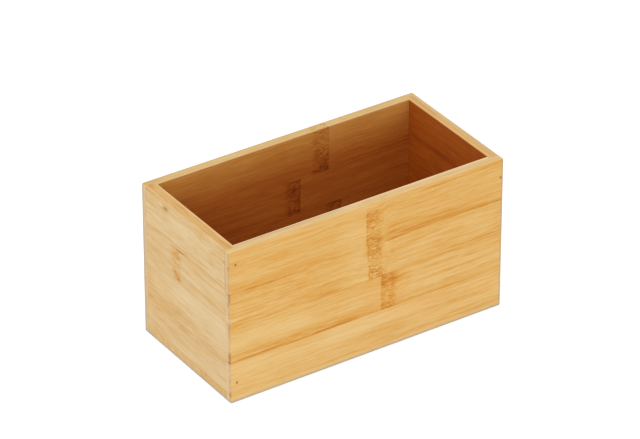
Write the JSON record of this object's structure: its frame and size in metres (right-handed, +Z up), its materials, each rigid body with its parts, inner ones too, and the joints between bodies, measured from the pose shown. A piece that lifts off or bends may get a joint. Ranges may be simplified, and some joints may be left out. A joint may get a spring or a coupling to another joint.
{
  "type": "bamboo storage box",
  "caption": "Open-topped rectangular box of edge-glued bamboo strips with lapped, pinned corners, for standing small things upright on a shelf or vanity.",
  "frame": {"origin": "middle of the box's underside, on the surface it stands on", "axes": "+X along the length towards the right end, +Y towards the back, +Z up"},
  "size_m": [0.15, 0.074, 0.08],
  "materials": {
    "bamboo_long_panel": "natural bamboo, thin satin lacquer",
    "bamboo_end_panel": "paler natural bamboo, thin satin lacquer",
    "bamboo_base": "natural bamboo, sanded",
    "brad_steel": "dull dark steel, sunk below the face"
  },
  "bodies": {
    "root": {"front_strip_1": "bamboo_long_panel", "front_strip_2": "bamboo_long_panel", "front_strip_3": "bamboo_long_panel", "front_strip_4": "bamboo_long_panel", "back_strip_1": "bamboo_long_panel", "back_strip_2": "bamboo_long_panel", "back_strip_3": "bamboo_long_panel", "back_strip_4": "bamboo_long_panel", "left_end_strip_1": "bamboo_end_panel", "left_end_strip_2": "bamboo_end_panel", "left_end_strip_3": "bamboo_end_panel", "left_end_strip_4": "bamboo_end_panel", "right_end_strip_1": "bamboo_end_panel", "right_end_strip_2": "bamboo_end_panel", "right_end_strip_3": "bamboo_end_panel", "right_end_strip_4": "bamboo_end_panel", "base_board_1": "bamboo_base", "base_board_2": "bamboo_base", "base_board_3": "bamboo_base", "front_left_brads": "brad_steel", "front_right_brad": "brad_steel", "back_left_brads": "brad_steel", "back_right_brads": "brad_steel"}
  },
  "joints": []
}
